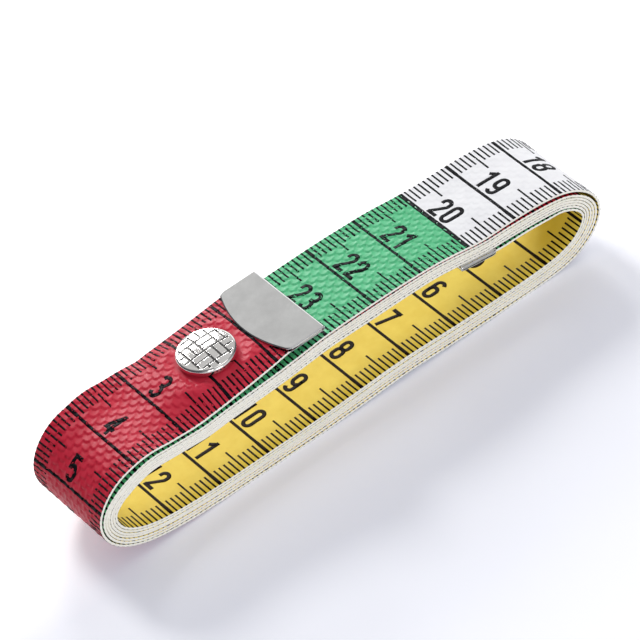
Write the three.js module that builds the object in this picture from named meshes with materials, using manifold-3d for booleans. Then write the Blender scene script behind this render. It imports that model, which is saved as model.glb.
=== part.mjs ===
// Cloth tape measure: a coated tape wound into a flat oval coil and closed by a press stud,
// with a folded metal clip on each of its ends.
// Millimetres, +Z up. The coil lies on its long side: X along the oval, Y across the tape.
// The origin is under the middle of the coil, on the surface that it lies on.
import * as THREE from 'three';
import { mergeVertices } from 'three/addons/utils/BufferGeometryUtils.js';
import Module from 'manifold-3d';

const wasm = await Module();
wasm.setup();

// Tape
const tapeLength = 1500;
const tapeWidth = 19;
const tapeThickness = 0.35;

// Winding: how many turns, how close they lie, and the shape of the outside
const windingTurns = 7;
const windingGap = 0.41;
const leftEndRadius = 8.75;
const rightEndRadius = 8.2;
const leftEndLift = 1.4;
const crownRadius = 525;
const heelRadius = 160;
const endSteps = 20;
const crownSteps = 5;
const climbSteps = 8;

// Free end: lengths run along the top of the coil, from the fold line or from the zero of the scale
const flapLength = 40;
const foldGap = 0.3;
const snapFromZero = 17.4;
const snapFlat = 6;
const flapCurl = 0.006;

// Turns step inward by one pitch between these two places, on either side of the zero
const climbAhead = 18;
const climbBeyond = 10;

// Inner end of the tape, under the top of the coil
const innerEndAhead = 27;
const tailDroop = 0.7;
const tipDroop = 0.15;

// End clips, folded from sheet
const clipSheet = 0.25;
const clipSide = 7.6;
const clipBow = 2.1;
const clipCorner = 0.9;
const clipOverhang = 0.3;
const clipPlay = 0.06;

// Press stud: sheet-metal pieces on one axis
const capDiameter = 10.2;
const capHeight = 1.55;
const capDome = 0.35;
const capSheet = 0.25;
const capRimRadius = 0.45;
const capRimWidth = 1.5;
const postDiameter = 2;
const postSheet = 0.22;
const postFlare = 0.45;
const socketDiameter = 8.8;
const socketHeight = 1.42;
const socketSheet = 0.2;
const socketEdgeRadius = 0.4;
const studFlangeDiameter = 8;
const studNeckDiameter = 2.8;
const studHeadDiameter = 3.5;
const studSheet = 0.25;
const springWire = 0.34;
const eyeletFlangeDiameter = 7;
const eyeletDiameter = 1.9;
const eyeletSheet = 0.2;
const seatGap = 0.06;
const runningGap = 0.14;
const mouthPlay = 0.25;
const borePlay = 0.1;

// Derived sizes of the winding and of the press stud's stack
const pitch = tapeThickness + windingGap;
const socketBase = seatGap + studSheet + runningGap;
const snapStack = socketBase + socketHeight + seatGap;
const flapLift = snapStack - windingGap;
const clipInside = tapeThickness / 2 + clipPlay;
const clipOutside = clipInside + clipSheet;
const clipWidth = tapeWidth + 2 * clipOverhang;
const clipFold = clipOutside + clipPlay;
const snapAt = flapLength - snapFromZero;
const clipRearAt = flapLength - clipSide - clipBow;
const climbFrom = flapLength + climbAhead;
const climbTo = flapLength - climbBeyond;
const innerEndAt = flapLength + innerEndAhead;
const tailClipAt = innerEndAt + clipSide + clipBow + clipPlay;
const stripLength = tapeLength - 2 * clipFold;

function smooth(value) {
  const t = Math.min(Math.max(value, 0), 1);
  return t * t * (3 - 2 * t);
}

// A station is a point of the coil's outside with the outward normal there
function station(centre, radius, angle) {
  const normal = new THREE.Vector2(Math.cos(angle), Math.sin(angle));
  return { point: normal.clone().multiplyScalar(radius).add(centre), normal };
}

function arcStations(centre, radius, from, to, steps) {
  const list = [];
  for (let i = 0; i < steps; i += 1) {
    list.push(station(centre, radius, from + (to - from) * i / steps));
  }
  return list;
}

function inset(place, depth) {
  return place.point.clone().addScaledVector(place.normal, -depth);
}

// Outside of the coil for one distance between its end centres: a left and a right end arc,
// a shallow crown that wraps both, and a heel that runs from the left end down to a flat foot
function outsideOf(centreDistance) {
  const span = centreDistance + leftEndRadius + rightEndRadius;
  const left = new THREE.Vector2(leftEndRadius - span / 2, leftEndLift + leftEndRadius);
  const right = new THREE.Vector2(span / 2 - rightEndRadius, rightEndRadius);
  const axis = right.clone().sub(left);
  const apart = axis.length();
  axis.divideScalar(apart);
  const toLeft = crownRadius - leftEndRadius;
  const toRight = crownRadius - rightEndRadius;
  const along = (toLeft ** 2 - toRight ** 2 + apart ** 2) / (2 * apart);
  const below = Math.sqrt(toLeft ** 2 - along ** 2);
  const crown = left.clone().addScaledVector(axis, along);
  crown.add(new THREE.Vector2(axis.y, -axis.x).multiplyScalar(below));
  const heelReach = Math.sqrt((heelRadius - leftEndRadius) ** 2 - (heelRadius - left.y) ** 2);
  const heel = new THREE.Vector2(left.x + heelReach, heelRadius);
  const crownLeft = Math.atan2(left.y - crown.y, left.x - crown.x);
  const crownRight = Math.atan2(right.y - crown.y, right.x - crown.x);
  const heelLeft = Math.atan2(left.y - heel.y, left.x - heel.x) + 2 * Math.PI;
  const crownLength = (crownLeft - crownRight) * crownRadius;
  const onCrown = (at) => station(crown, crownRadius, crownLeft - at / crownRadius);
  return { left, right, heel, crownLeft, crownRight, heelLeft, crownLength, onCrown };
}

// Places along the crown, from the right end to the fold line, where the tape has a station
function crownPlaces(crownLength) {
  const places = [];
  for (let i = 0; i < crownSteps; i += 1) {
    places.push(crownLength + (tailClipAt - crownLength) * i / crownSteps);
  }
  places.push(tailClipAt, innerEndAt);
  for (let i = 0; i <= climbSteps; i += 1) {
    places.push(climbFrom + (climbTo - climbFrom) * i / climbSteps);
  }
  places.push(snapAt + snapFlat, snapAt - snapFlat);
  places.push((snapAt - snapFlat) / 2);
  return places;
}

// Centre line of the wound tape, from the fold line inward to its inner end
function windingLine(outside) {
  const foot = new THREE.Vector2(0, -1);
  const turn = [];
  const { left, right, heel, crownLeft, crownRight, heelLeft } = outside;
  turn.push(...arcStations(left, leftEndRadius, crownLeft, heelLeft, endSteps));
  turn.push(...arcStations(heel, heelRadius, heelLeft, 1.5 * Math.PI, 3));
  turn.push({ point: new THREE.Vector2(heel.x, 0), normal: foot });
  turn.push(...arcStations(right, rightEndRadius, -0.5 * Math.PI, crownRight, endSteps));
  for (const at of crownPlaces(outside.crownLength)) {
    turn.push({ ...outside.onCrown(at), at });
  }
  const line = [];
  for (let k = 0; k < windingTurns; k += 1) {
    const last = k === windingTurns - 1;
    for (const place of turn) {
      const climb = place.at === undefined ? 0 : smooth((climbFrom - place.at) / (climbFrom - climbTo));
      let depth = tapeThickness / 2 + pitch * (k + climb);
      if (last && place.at !== undefined) {
        if (place.at < tailClipAt) {
          continue;
        }
        const run = outside.crownLength - tailClipAt;
        depth += tailDroop * smooth((outside.crownLength - place.at) / run);
      }
      line.push({ centre: inset(place, depth), normal: place.normal });
    }
  }
  const tip = outside.onCrown(innerEndAt + clipFold);
  const tipDepth = tapeThickness / 2 + pitch * (windingTurns - 1) + tipDroop;
  line.push({ centre: inset(tip, tipDepth), normal: tip.normal });
  const start = station(left, leftEndRadius, crownLeft + foldGap / 2 / leftEndRadius);
  line[0] = { centre: inset(start, tapeThickness / 2), normal: start.normal };
  return line;
}

// How far the flap stands out from the line of the outer turn
function liftAt(at) {
  const snapFrom = snapAt - snapFlat;
  const bend = Math.max(at - snapAt - snapFlat, 0);
  const bent = Math.min(bend, clipRearAt - snapAt - snapFlat);
  const curl = flapCurl * bent * (bend - bent / 2);
  return flapLift * smooth((at - foldGap / 2) / (snapFrom - foldGap / 2)) + curl;
}

// Centre line of the flap, from the fold line to the zero end
function flapLine(outside) {
  const places = [];
  const riseSteps = 10;
  for (let i = 0; i < riseSteps; i += 1) {
    places.push(foldGap / 2 + (snapAt - snapFlat - foldGap / 2) * i / riseSteps);
  }
  places.push(snapAt - snapFlat, snapAt + snapFlat);
  places.push((snapAt + snapFlat + clipRearAt) / 2);
  places.push(clipRearAt, flapLength - clipFold);
  return places.map((at) => {
    const place = outside.onCrown(at);
    return { centre: inset(place, tapeThickness / 2 - liftAt(at)), normal: place.normal };
  });
}

function lengthOf(line) {
  let total = 0;
  for (let i = 1; i < line.length; i += 1) {
    total += line[i].centre.distanceTo(line[i - 1].centre);
  }
  return total;
}

// The end centres stand as far apart as the length of the tape needs for its turns
function centreDistanceFor(length) {
  const excess = (distance) => {
    const outside = outsideOf(distance);
    return lengthOf(windingLine(outside)) + lengthOf(flapLine(outside)) + foldGap - length;
  };
  let before = length / windingTurns / 2;
  let now = before - excess(before) / windingTurns / 2;
  for (let i = 0; i < 12 && Math.abs(excess(now)) > 1e-6; i += 1) {
    const slope = (excess(now) - excess(before)) / (now - before);
    before = now;
    now -= excess(now) / slope;
  }
  return now;
}

// Closed surface with shared corners and outward faces
function closed(geometry) {
  geometry.deleteAttribute('normal');
  geometry.deleteAttribute('uv');
  const merged = mergeVertices(geometry, 1e-5);
  const corners = Array.from(merged.index.array);
  const position = merged.attributes.position;
  const kept = [];
  let volume = 0;
  const a = new THREE.Vector3();
  const b = new THREE.Vector3();
  const c = new THREE.Vector3();
  for (let i = 0; i < corners.length; i += 3) {
    const [p, q, r] = corners.slice(i, i + 3);
    if (p !== q && q !== r && r !== p) {
      kept.push(p, q, r);
      a.fromBufferAttribute(position, p);
      b.fromBufferAttribute(position, q);
      c.fromBufferAttribute(position, r);
      volume += a.dot(b.cross(c)) / 6;
    }
  }
  if (volume < 0) {
    kept.reverse();
  }
  const result = new THREE.BufferGeometry();
  result.setAttribute('position', position);
  result.setIndex(kept);
  return result;
}

function toSolid(geometry) {
  const clean = closed(geometry);
  const vertProperties = new Float32Array(clean.attributes.position.array);
  const triVerts = new Uint32Array(clean.index.array);
  return new wasm.Manifold(new wasm.Mesh({ numProp: 3, vertProperties, triVerts }));
}

function toGeometry(solid) {
  const mesh = solid.getMesh();
  const geometry = new THREE.BufferGeometry();
  geometry.setAttribute('position', new THREE.BufferAttribute(new Float32Array(mesh.vertProperties), 3));
  geometry.setIndex(Array.from(mesh.triVerts));
  return geometry;
}

// Flat strip along a line of stations: four corners at each, closed at both ends
function strip(line) {
  const corners = [];
  const faces = [];
  for (const { centre, normal } of line) {
    const out = centre.clone().addScaledVector(normal, tapeThickness / 2);
    const into = centre.clone().addScaledVector(normal, -tapeThickness / 2);
    corners.push(out.x, -tapeWidth / 2, out.y, out.x, tapeWidth / 2, out.y);
    corners.push(into.x, tapeWidth / 2, into.y, into.x, -tapeWidth / 2, into.y);
  }
  for (let i = 0; i + 1 < line.length; i += 1) {
    for (let side = 0; side < 4; side += 1) {
      const here = 4 * i + side;
      const beside = 4 * i + (side + 1) % 4;
      faces.push(here, beside, beside + 4, here, beside + 4, here + 4);
    }
  }
  const end = 4 * (line.length - 1);
  faces.push(0, 2, 1, 0, 3, 2, end, end + 1, end + 2, end, end + 2, end + 3);
  const geometry = new THREE.BufferGeometry();
  geometry.setAttribute('position', new THREE.Float32BufferAttribute(corners, 3));
  geometry.setIndex(faces);
  return closed(geometry);
}

// Least clear distance of a line's stations to another line, or to its own other turns
function leastGap(line, other, apartBy) {
  let least = Infinity;
  const nearest = new THREE.Vector3();
  const segment = new THREE.Line3();
  for (let i = 0; i < line.length; i += 1) {
    const point = new THREE.Vector3(line[i].centre.x, 0, line[i].centre.y);
    for (let k = 1; k < other.length; k += 1) {
      if (Math.abs(k - i) > apartBy) {
        segment.start.set(other[k - 1].centre.x, 0, other[k - 1].centre.y);
        segment.end.set(other[k].centre.x, 0, other[k].centre.y);
        segment.closestPointToPoint(point, true, nearest);
        least = Math.min(least, nearest.distanceTo(point) - tapeThickness);
      }
    }
  }
  return least;
}

// Quarter-round corner of a profile, from one direction to the next
function corner(centreR, centreZ, radius, from, to) {
  const list = [];
  const steps = 3;
  for (let i = 0; i <= steps; i += 1) {
    const angle = from + (to - from) * i / steps;
    list.push(new THREE.Vector2(centreR + radius * Math.cos(angle), centreZ + radius * Math.sin(angle)));
  }
  return list;
}

// Pressed sheet: a line of (radius, height) points given a thickness on its left, turned about Z
function pressed(line, sheet, segments) {
  const offset = line.map((point, i) => {
    const before = line[Math.max(i - 1, 0)];
    const after = line[Math.min(i + 1, line.length - 1)];
    const into = point.clone().sub(before).normalize();
    const onward = after.clone().sub(point).normalize();
    const first = i === 0 ? onward : into;
    const second = i === line.length - 1 ? into : onward;
    const miter = new THREE.Vector2(-first.y - second.y, first.x + second.x).normalize();
    const reach = sheet / miter.dot(new THREE.Vector2(-first.y, first.x));
    const moved = point.clone().addScaledVector(miter, reach);
    moved.x = point.x === 0 ? 0 : moved.x;
    return moved;
  });
  const profile = [...line, ...offset.reverse()];
  if (profile[0].x > 0) {
    profile.push(profile[0].clone());
  }
  return new THREE.LatheGeometry(profile, segments).rotateX(Math.PI / 2);
}

const outside = outsideOf(centreDistanceFor(stripLength));
const winding = windingLine(outside);
const flap = flapLine(outside);
const perTurn = Math.round(winding.length / windingTurns);
const turnGap = leastGap(winding, winding, perTurn / 2);
const flapGap = leastGap(flap, winding.slice(perTurn / 2), -1);
console.log(`tape ${(lengthOf(winding) + lengthOf(flap) + foldGap + 2 * clipFold).toFixed(2)} mm`);
console.log(`least gap between turns ${turnGap.toFixed(3)} mm, under the flap ${flapGap.toFixed(3)} mm`);

// Press stud axis: it stands on the second turn, square to the top of the coil
const axisStations = [outside.onCrown(snapAt - snapFlat), outside.onCrown(snapAt + snapFlat)];
const axisFoot = inset(axisStations[0], pitch).add(inset(axisStations[1], pitch)).multiplyScalar(0.5);
const axisNormal = outside.onCrown(snapAt).normal;
const axisTilt = Math.atan2(axisNormal.x, axisNormal.y);
const snap = new THREE.Group();
snap.position.set(axisFoot.x, 0, axisFoot.y);
snap.rotation.y = axisTilt;
snap.updateMatrixWorld();

function snapBore(diameter, from, to) {
  const bore = new THREE.CylinderGeometry(diameter / 2, diameter / 2, to - from, 24);
  bore.rotateX(Math.PI / 2).translate(0, 0, (from + to) / 2);
  return toSolid(bore.applyMatrix4(snap.matrixWorld));
}

// Tape: the wound length and the flap, each with the bore that its half of the press stud fills
const flapUnder = snapStack;
const flapTop = flapUnder + tapeThickness;
const boreReach = windingGap / 3;
const studBore = snapBore(eyeletDiameter + 2 * borePlay, -tapeThickness - boreReach, boreReach);
const capBore = snapBore(postDiameter + 2 * borePlay, flapUnder - boreReach, flapTop + boreReach);
const coilGeometry = toGeometry(toSolid(strip(winding)).subtract(studBore));
const flapGeometry = toGeometry(toSolid(strip(flap)).subtract(capBore));

// End clip: a folded profile across the tape, trimmed to a plan with a bowed rear edge.
// Its own frame has X from the fold to the rear, Y across the tape and Z out of the tape's face.
function clipGeometry() {
  const reach = clipSide + clipBow + clipCorner;
  const fold = new THREE.Shape();
  fold.moveTo(reach, clipOutside);
  fold.lineTo(clipOutside, clipOutside);
  fold.absarc(clipOutside, 0, clipOutside, 0.5 * Math.PI, 1.5 * Math.PI, false);
  fold.lineTo(reach, -clipOutside);
  fold.lineTo(reach, -clipInside);
  fold.lineTo(clipOutside, -clipInside);
  fold.absarc(clipOutside, 0, clipInside, 1.5 * Math.PI, 0.5 * Math.PI, true);
  fold.lineTo(reach, clipInside);
  const folded = new THREE.ExtrudeGeometry(fold, { depth: clipWidth, bevelEnabled: false, curveSegments: 8 });
  folded.rotateX(Math.PI / 2).translate(0, clipWidth / 2, 0);
  const half = clipWidth / 2;
  const plan = new THREE.Shape();
  plan.moveTo(-clipCorner, -half - clipCorner);
  plan.lineTo(clipOutside, -half - clipCorner);
  plan.lineTo(clipOutside, -half);
  plan.lineTo(clipSide - clipCorner, -half);
  plan.quadraticCurveTo(clipSide, -half, clipSide + clipBow / 6, -half + clipCorner);
  plan.quadraticCurveTo(clipSide + 2 * clipBow, 0, clipSide + clipBow / 6, half - clipCorner);
  plan.quadraticCurveTo(clipSide, half, clipSide - clipCorner, half);
  plan.lineTo(clipOutside, half);
  plan.lineTo(clipOutside, half + clipCorner);
  plan.lineTo(-clipCorner, half + clipCorner);
  const tall = 4 * clipOutside;
  const trim = new THREE.ExtrudeGeometry(plan, { depth: tall, bevelEnabled: false, curveSegments: 12 });
  trim.translate(0, 0, -tall / 2);
  return toGeometry(toSolid(folded).intersect(toSolid(trim)));
}

// Frame of a clip on the end of a line: X runs back along the tape from the fold
function clipFrame(line, outward) {
  const tip = line[line.length - 1].centre;
  const back = line[line.length - 2].centre.clone().sub(tip).normalize();
  const front = tip.clone().addScaledVector(back, -clipFold);
  const group = new THREE.Group();
  group.position.set(front.x, 0, front.y);
  group.rotation.y = -Math.atan2(back.y, back.x) + (outward ? Math.PI : 0);
  const turned = new THREE.Group();
  turned.rotation.z = outward ? Math.PI : 0;
  group.add(turned);
  return { group, turned };
}

// Cap: a domed shell with its rim rolled in under the post's flange
const capRadius = capDiameter / 2;
const capFoot = flapTop + seatGap;
const capTop = capFoot + capHeight;
const capShoulder = capTop - capDome - capRimRadius;
const capLine = [
  new THREE.Vector2(capRadius - capRimWidth, capFoot),
  ...corner(capRadius - capRimRadius, capFoot + capRimRadius, capRimRadius, -0.5 * Math.PI, 0),
  ...corner(capRadius - capRimRadius, capShoulder, capRimRadius, 0, 0.4 * Math.PI),
];
const domeSteps = 4;
const domeEdge = capLine[capLine.length - 1].clone();
for (let i = 1; i <= domeSteps; i += 1) {
  const share = i / domeSteps;
  const rise = (capTop - domeEdge.y) * (1 - (1 - share) ** 2);
  capLine.push(new THREE.Vector2(domeEdge.x * (1 - share), domeEdge.y + rise));
}
const capGeometry = pressed(capLine, capSheet, 32);

// Post: a flange held in the cap's rim, and a shank through the flap, flared inside the socket
const postFlangeRadius = capRadius - capSheet - borePlay;
const postFlangeFoot = capFoot + capSheet + seatGap;
const postRadius = postDiameter / 2;
const socketTop = socketBase + socketHeight;
const flareTop = socketTop - socketSheet - seatGap;
const postLine = [
  new THREE.Vector2(postFlangeRadius, postFlangeFoot),
  new THREE.Vector2(postRadius + postSheet, postFlangeFoot),
  new THREE.Vector2(postRadius, postFlangeFoot - postSheet),
  new THREE.Vector2(postRadius, flareTop),
  new THREE.Vector2(postRadius + postFlare, flareTop - postSheet / 4),
];
const postGeometry = pressed(postLine.reverse(), postSheet / 2, 24);

// Socket: a hollow ring under the flap, open inward, with the stud's mouth below
const socketRadius = socketDiameter / 2;
const socketMouth = studHeadDiameter / 2 + mouthPlay;
const socketLine = [
  new THREE.Vector2(socketMouth, socketBase),
  ...corner(socketRadius - socketEdgeRadius, socketBase + socketEdgeRadius, socketEdgeRadius, -0.5 * Math.PI, 0),
  ...corner(socketRadius - socketEdgeRadius, socketTop - socketEdgeRadius, socketEdgeRadius, 0, 0.5 * Math.PI),
  new THREE.Vector2(postRadius + borePlay, socketTop),
];
const socketGeometry = pressed(socketLine, socketSheet, 28);

// Spring: a hairpin of wire inside the socket, its legs on either side of the stud's neck
const springLevel = socketBase + socketSheet + seatGap + springWire / 2;
const legOffset = studNeckDiameter / 2 + springWire / 2 + seatGap;
const springReach = socketRadius - socketSheet - borePlay - springWire;
const legEnd = -Math.sqrt(springReach ** 2 - legOffset ** 2);
const bendAt = springReach - legOffset;
const springPath = new THREE.CurvePath();
springPath.add(new THREE.LineCurve3(
  new THREE.Vector3(legEnd, -legOffset, springLevel),
  new THREE.Vector3(bendAt, -legOffset, springLevel),
));
const bendSteps = 10;
const bendPoint = (i) => {
  const angle = (i / bendSteps - 0.5) * Math.PI;
  const x = bendAt + legOffset * Math.cos(angle);
  return new THREE.Vector3(x, legOffset * Math.sin(angle), springLevel);
};
for (let i = 0; i < bendSteps; i += 1) {
  springPath.add(new THREE.LineCurve3(bendPoint(i), bendPoint(i + 1)));
}
springPath.add(new THREE.LineCurve3(
  new THREE.Vector3(bendAt, legOffset, springLevel),
  new THREE.Vector3(legEnd, legOffset, springLevel),
));
const wireSection = new THREE.Shape();
wireSection.absarc(0, 0, springWire / 2, 0, 2 * Math.PI, false);
const springGeometry = new THREE.ExtrudeGeometry(wireSection, {
  steps: 40,
  bevelEnabled: false,
  extrudePath: springPath,
  curveSegments: 8,
});

// Stud: a flange on the second turn, a neck that the spring grips and a rounded head
const studFoot = seatGap;
const neckTop = springLevel + springWire / 2 + seatGap;
const studTop = flareTop - postSheet - seatGap;
const neckRadius = studNeckDiameter / 2;
const headRadius = studHeadDiameter / 2;
const headMiddle = (neckTop + studTop) / 2;
const studBoreRadius = eyeletDiameter / 2 + borePlay;
const studLine = [
  new THREE.Vector2(studFlangeDiameter / 2, studFoot + studSheet),
  new THREE.Vector2(neckRadius + studSheet / 2, studFoot + studSheet),
  new THREE.Vector2(neckRadius, studFoot + 1.5 * studSheet),
  new THREE.Vector2(neckRadius, neckTop),
  new THREE.Vector2(headRadius, headMiddle),
  new THREE.Vector2(headRadius - (studTop - headMiddle) / 2, studTop),
  new THREE.Vector2(studBoreRadius + studSheet, studTop),
  new THREE.Vector2(studBoreRadius, studTop - studSheet),
];
const studInside = [
  new THREE.Vector2(studBoreRadius, studFoot),
  new THREE.Vector2(studFlangeDiameter / 2, studFoot),
];
const studProfile = [...studLine, ...studInside, studLine[0].clone()];
const studGeometry = new THREE.LatheGeometry(studProfile, 28).rotateX(Math.PI / 2);

// Eyelet: a flange under the second turn and a tube through it, flared in the stud's head
const eyeletRadius = eyeletDiameter / 2;
const eyeletFoot = -tapeThickness - seatGap;
const eyeletLine = [
  new THREE.Vector2(eyeletFlangeDiameter / 2, eyeletFoot),
  new THREE.Vector2(eyeletRadius + eyeletSheet / 2, eyeletFoot),
  new THREE.Vector2(eyeletRadius, eyeletFoot + eyeletSheet / 2),
  new THREE.Vector2(eyeletRadius, studTop - studSheet),
  new THREE.Vector2(eyeletRadius + studSheet - seatGap, studTop - seatGap / 2),
];
const eyeletGeometry = pressed(eyeletLine.reverse(), -eyeletSheet, 24);

const clothWhite = { color: 0xf0ede2, roughness: 0.55, metalness: 0 };
const clothRed = { color: 0xcf2229, roughness: 0.5, metalness: 0 };
const nickel = { color: 0xc9c8c6, roughness: 0.25, metalness: 1 };
const satinNickel = { color: 0xb9b8b4, roughness: 0.42, metalness: 1 };
const springSteel = { color: 0x8d8f92, roughness: 0.3, metalness: 1 };

function piece(name, geometry, finish) {
  const mesh = new THREE.Mesh(closed(geometry), new THREE.MeshStandardMaterial(finish));
  mesh.name = name;
  return mesh;
}

const tapeMeasure = new THREE.Group();
tapeMeasure.add(piece('tape_coil', coilGeometry, clothWhite));
tapeMeasure.add(piece('tape_flap', flapGeometry, clothRed));
const outerClip = clipFrame(flap, true);
outerClip.turned.add(piece('outer_end_clip', clipGeometry(), satinNickel));
const innerClip = clipFrame(winding, false);
innerClip.turned.add(piece('inner_end_clip', clipGeometry(), satinNickel));
tapeMeasure.add(outerClip.group, innerClip.group);
snap.add(piece('snap_cap', capGeometry, nickel));
snap.add(piece('cap_post', postGeometry, nickel));
snap.add(piece('snap_socket', socketGeometry, nickel));
snap.add(piece('socket_spring', springGeometry, springSteel));
snap.add(piece('snap_stud', studGeometry, nickel));
snap.add(piece('stud_eyelet', eyeletGeometry, nickel));
tapeMeasure.add(snap);

export default tapeMeasure;
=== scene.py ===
# Looks of the cloth tape measure: the wound tape with its print, the clips and the press stud.
import math

import bmesh
import bpy
import numpy as np
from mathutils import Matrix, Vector


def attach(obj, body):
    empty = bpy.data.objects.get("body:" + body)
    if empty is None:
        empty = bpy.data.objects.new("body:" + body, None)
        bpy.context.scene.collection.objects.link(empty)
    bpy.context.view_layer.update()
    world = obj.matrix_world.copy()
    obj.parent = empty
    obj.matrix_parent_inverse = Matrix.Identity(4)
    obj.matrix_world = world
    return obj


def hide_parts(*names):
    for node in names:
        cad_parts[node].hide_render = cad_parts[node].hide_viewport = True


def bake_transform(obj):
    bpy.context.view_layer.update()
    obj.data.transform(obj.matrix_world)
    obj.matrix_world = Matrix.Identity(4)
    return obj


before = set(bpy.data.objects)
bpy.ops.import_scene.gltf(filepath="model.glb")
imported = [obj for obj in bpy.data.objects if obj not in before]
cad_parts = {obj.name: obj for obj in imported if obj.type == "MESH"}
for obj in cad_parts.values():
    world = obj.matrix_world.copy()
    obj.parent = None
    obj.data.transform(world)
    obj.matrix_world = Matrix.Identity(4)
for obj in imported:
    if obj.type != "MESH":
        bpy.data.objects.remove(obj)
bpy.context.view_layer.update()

# All lengths are in millimetres here and become metres when a mesh is made
MM = 0.001

# Tape
TAPE_LENGTH = 1500.0
TAPE_THICK = 0.44
FLAP_THICK = 0.42
HALF_WIDTH = 9.5
EDGE_ROUND = 0.07
FLAP_LENGTH = 40.0
OUTER_TURN_LENGTH = 230.0
TURNS = 7
STEP = 0.25

# Sideways wander of the tape as height, length and start of each wave, and how its turns telescope
WANDER = ((0.03, 27.0, 0.0), (0.02, 9.7, 1.0), (0.03, 93.75, 0.0))
WANDER_IN = (45.0, 30.0)
TELESCOPE, TELESCOPE_FROM, TELESCOPE_TURN, TELESCOPE_TURNS = 0.065, 200.0, 222.0, 4.0

# Crown of the part's solids, its fold line, and how far its second turn lies below the outside
CROWN_X, CROWN_Z, CROWN_RADIUS = -14.0235, -505.1856, 525.0
FOLD = (-45.2535, 18.8845)
CAD_PITCH = 0.76

# The press stud, and how the free end rises over it and curls up between it and the clip
SNAP_FROM_ZERO, SNAP_FLAT = 17.4, 6.0
SNAP_SEAT, SNAP_SINK = 2.34, 0.3
FLAP_LIFT, FLAP_RISE_FROM, FLAP_RISE_PAST = 1.52, 6.0, 0.3
FLAP_CURL, CLIP_REAR = 0.006, 9.7

# Lengths before the fold line between which a turn passes below the next one
CLIMB_FROM, CLIMB_TO = 58.0, 30.0

# Length taken by the fold of a clip, and how far the inner end is set back from the full length
CLIP_FOLD, INNER_SET_BACK = 0.545, 1.0

# Where each clip's fold lies and which way the clip runs back from it
OUTER_CLIP_FRONT, OUTER_CLIP_BACK = (-5.26, 21.2), (-1.0, -0.0033)
INNER_CLIP_FRONT, INNER_CLIP_BACK = (22.2, 14.41), (0.9889, -0.1484)
INNER_END_X = INNER_CLIP_FRONT[0] + CLIP_FOLD * INNER_CLIP_BACK[0]

# Outside of the outer turn from the fold on: x, z, the room under it and the pitch of the turns inside it
LEFT_END = (
    (-49.2, 17.5, 0.36, 0.50), (-51.1, 16.1, 0.28, 0.51), (-52.75, 14.3, 0.22, 0.51),
    (-53.85, 12.3, 0.17, 0.51), (-54.25, 10.2, 0.15, 0.51), (-54.0, 8.3, 0.13, 0.51),
    (-53.2, 6.4, 0.11, 0.51), (-51.75, 4.65, 0.09, 0.50), (-49.6, 3.1, 0.07, 0.49),
    (-46.9, 1.9, 0.05, 0.48), (-43.3, 1.05, 0.04, 0.465), (-38.5, 0.5, 0.03, 0.455),
)
FOOT = (
    (-30.5, 0.1, 0.03, 0.45), (-21.0, 0.0, 0.03, 0.45), (-11.0, 0.02, 0.03, 0.45),
    (-2.0, 0.3, 0.03, 0.45), (8.0, 0.65, 0.03, 0.45), (18.0, 0.3, 0.03, 0.45),
    (28.0, 0.06, 0.03, 0.45), (37.5, 0.08, 0.03, 0.455),
)
RIGHT_END = (
    (42.5, 0.48, 0.04, 0.47), (45.6, 1.35, 0.06, 0.48), (48.0, 2.7, 0.09, 0.49),
    (49.8, 4.2, 0.13, 0.50), (51.2, 6.2, 0.19, 0.515), (51.85, 8.4, 0.28, 0.53),
    (51.5, 10.6, 0.40, 0.535), (50.3, 12.65, 0.50, 0.535), (48.25, 14.55, 0.55, 0.535),
    (45.6, 15.92, 0.54, 0.54), (42.5, 16.76, 0.57, 0.56),
)
TOP = (
    (38.0, 17.3, 0.52, 0.57), (33.0, 17.53, 0.42, 0.56), (28.0, 17.64, 0.33, 0.545),
    (23.0, 18.15, 0.14, 0.53), (18.0, 18.82, 0.10, 0.53), (12.0, 19.17, 0.12, 0.55),
)
CROWN_AT = (5.0, -2.0, -9.0, -16.0, -23.0, -30.0, -37.0)
CROWN_PITCH = ((-45.3, 0.49), (-37.0, 0.475), (-30.0, 0.485), (-23.0, 0.50), (-9.0, 0.53), (5.0, 0.56))
ROOM_BELOW_SECOND = 0.10

# Upward part of the outward normal that makes a place top or foot
TOP_FACING, FOOT_FACING = 0.8, -0.9

# How the tape's near and far edges bend out of the line of its middle, by x along the top
FLAP_NEAR = (
    (-45.3, 0.0), (-41.0, -0.05), (-38.9, -0.3), (-36.0, -1.0), (-33.5, -1.9), (-31.0, -2.4),
    (-28.5, -2.4), (-26.0, -2.2), (-21.0, -1.7), (-16.0, -1.02), (-13.0, -0.5), (-10.0, -0.1), (-6.0, 0.0),
)
FLAP_FAR = (
    (-45.3, 0.9), (-41.0, 1.05), (-38.5, 0.8), (-36.0, 0.3), (-33.5, -0.55), (-31.3, -1.5),
    (-28.5, -1.45), (-26.0, -1.35), (-21.0, -1.0), (-16.0, -0.5), (-13.0, -0.2), (-10.0, 0.0),
)
STACK_NEAR = (
    (-45.3, -0.7), (-41.0, -0.5), (-36.0, -1.0), (-33.5, -1.3), (-31.0, -1.55), (-28.5, -1.4),
    (-26.0, -1.22), (-21.0, -1.1), (-16.0, -0.87), (-11.0, -0.5), (-6.0, -0.05), (-4.0, 0.0),
    (22.0, 0.0), (28.0, -0.1), (42.0, -0.1), (46.0, 0.0),
)
STACK_FAR = (
    (-45.3, 0.8), (-41.0, 0.7), (-36.0, 0.0), (-31.0, -0.6), (-26.0, -0.5), (-16.0, -0.3),
    (-6.0, 0.0),
)

# The same for the outer turn toward its plain end
END_NEAR = (
    (14.0, 0.0), (22.0, -0.05), (27.0, -0.3), (30.0, -0.28), (34.0, -0.19), (40.0, -0.16),
    (50.0, -0.1),
)
END_FAR = ((14.0, 0.0), (24.0, 0.1), (34.0, 0.2), (40.0, 0.17), (50.0, 0.13))

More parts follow.
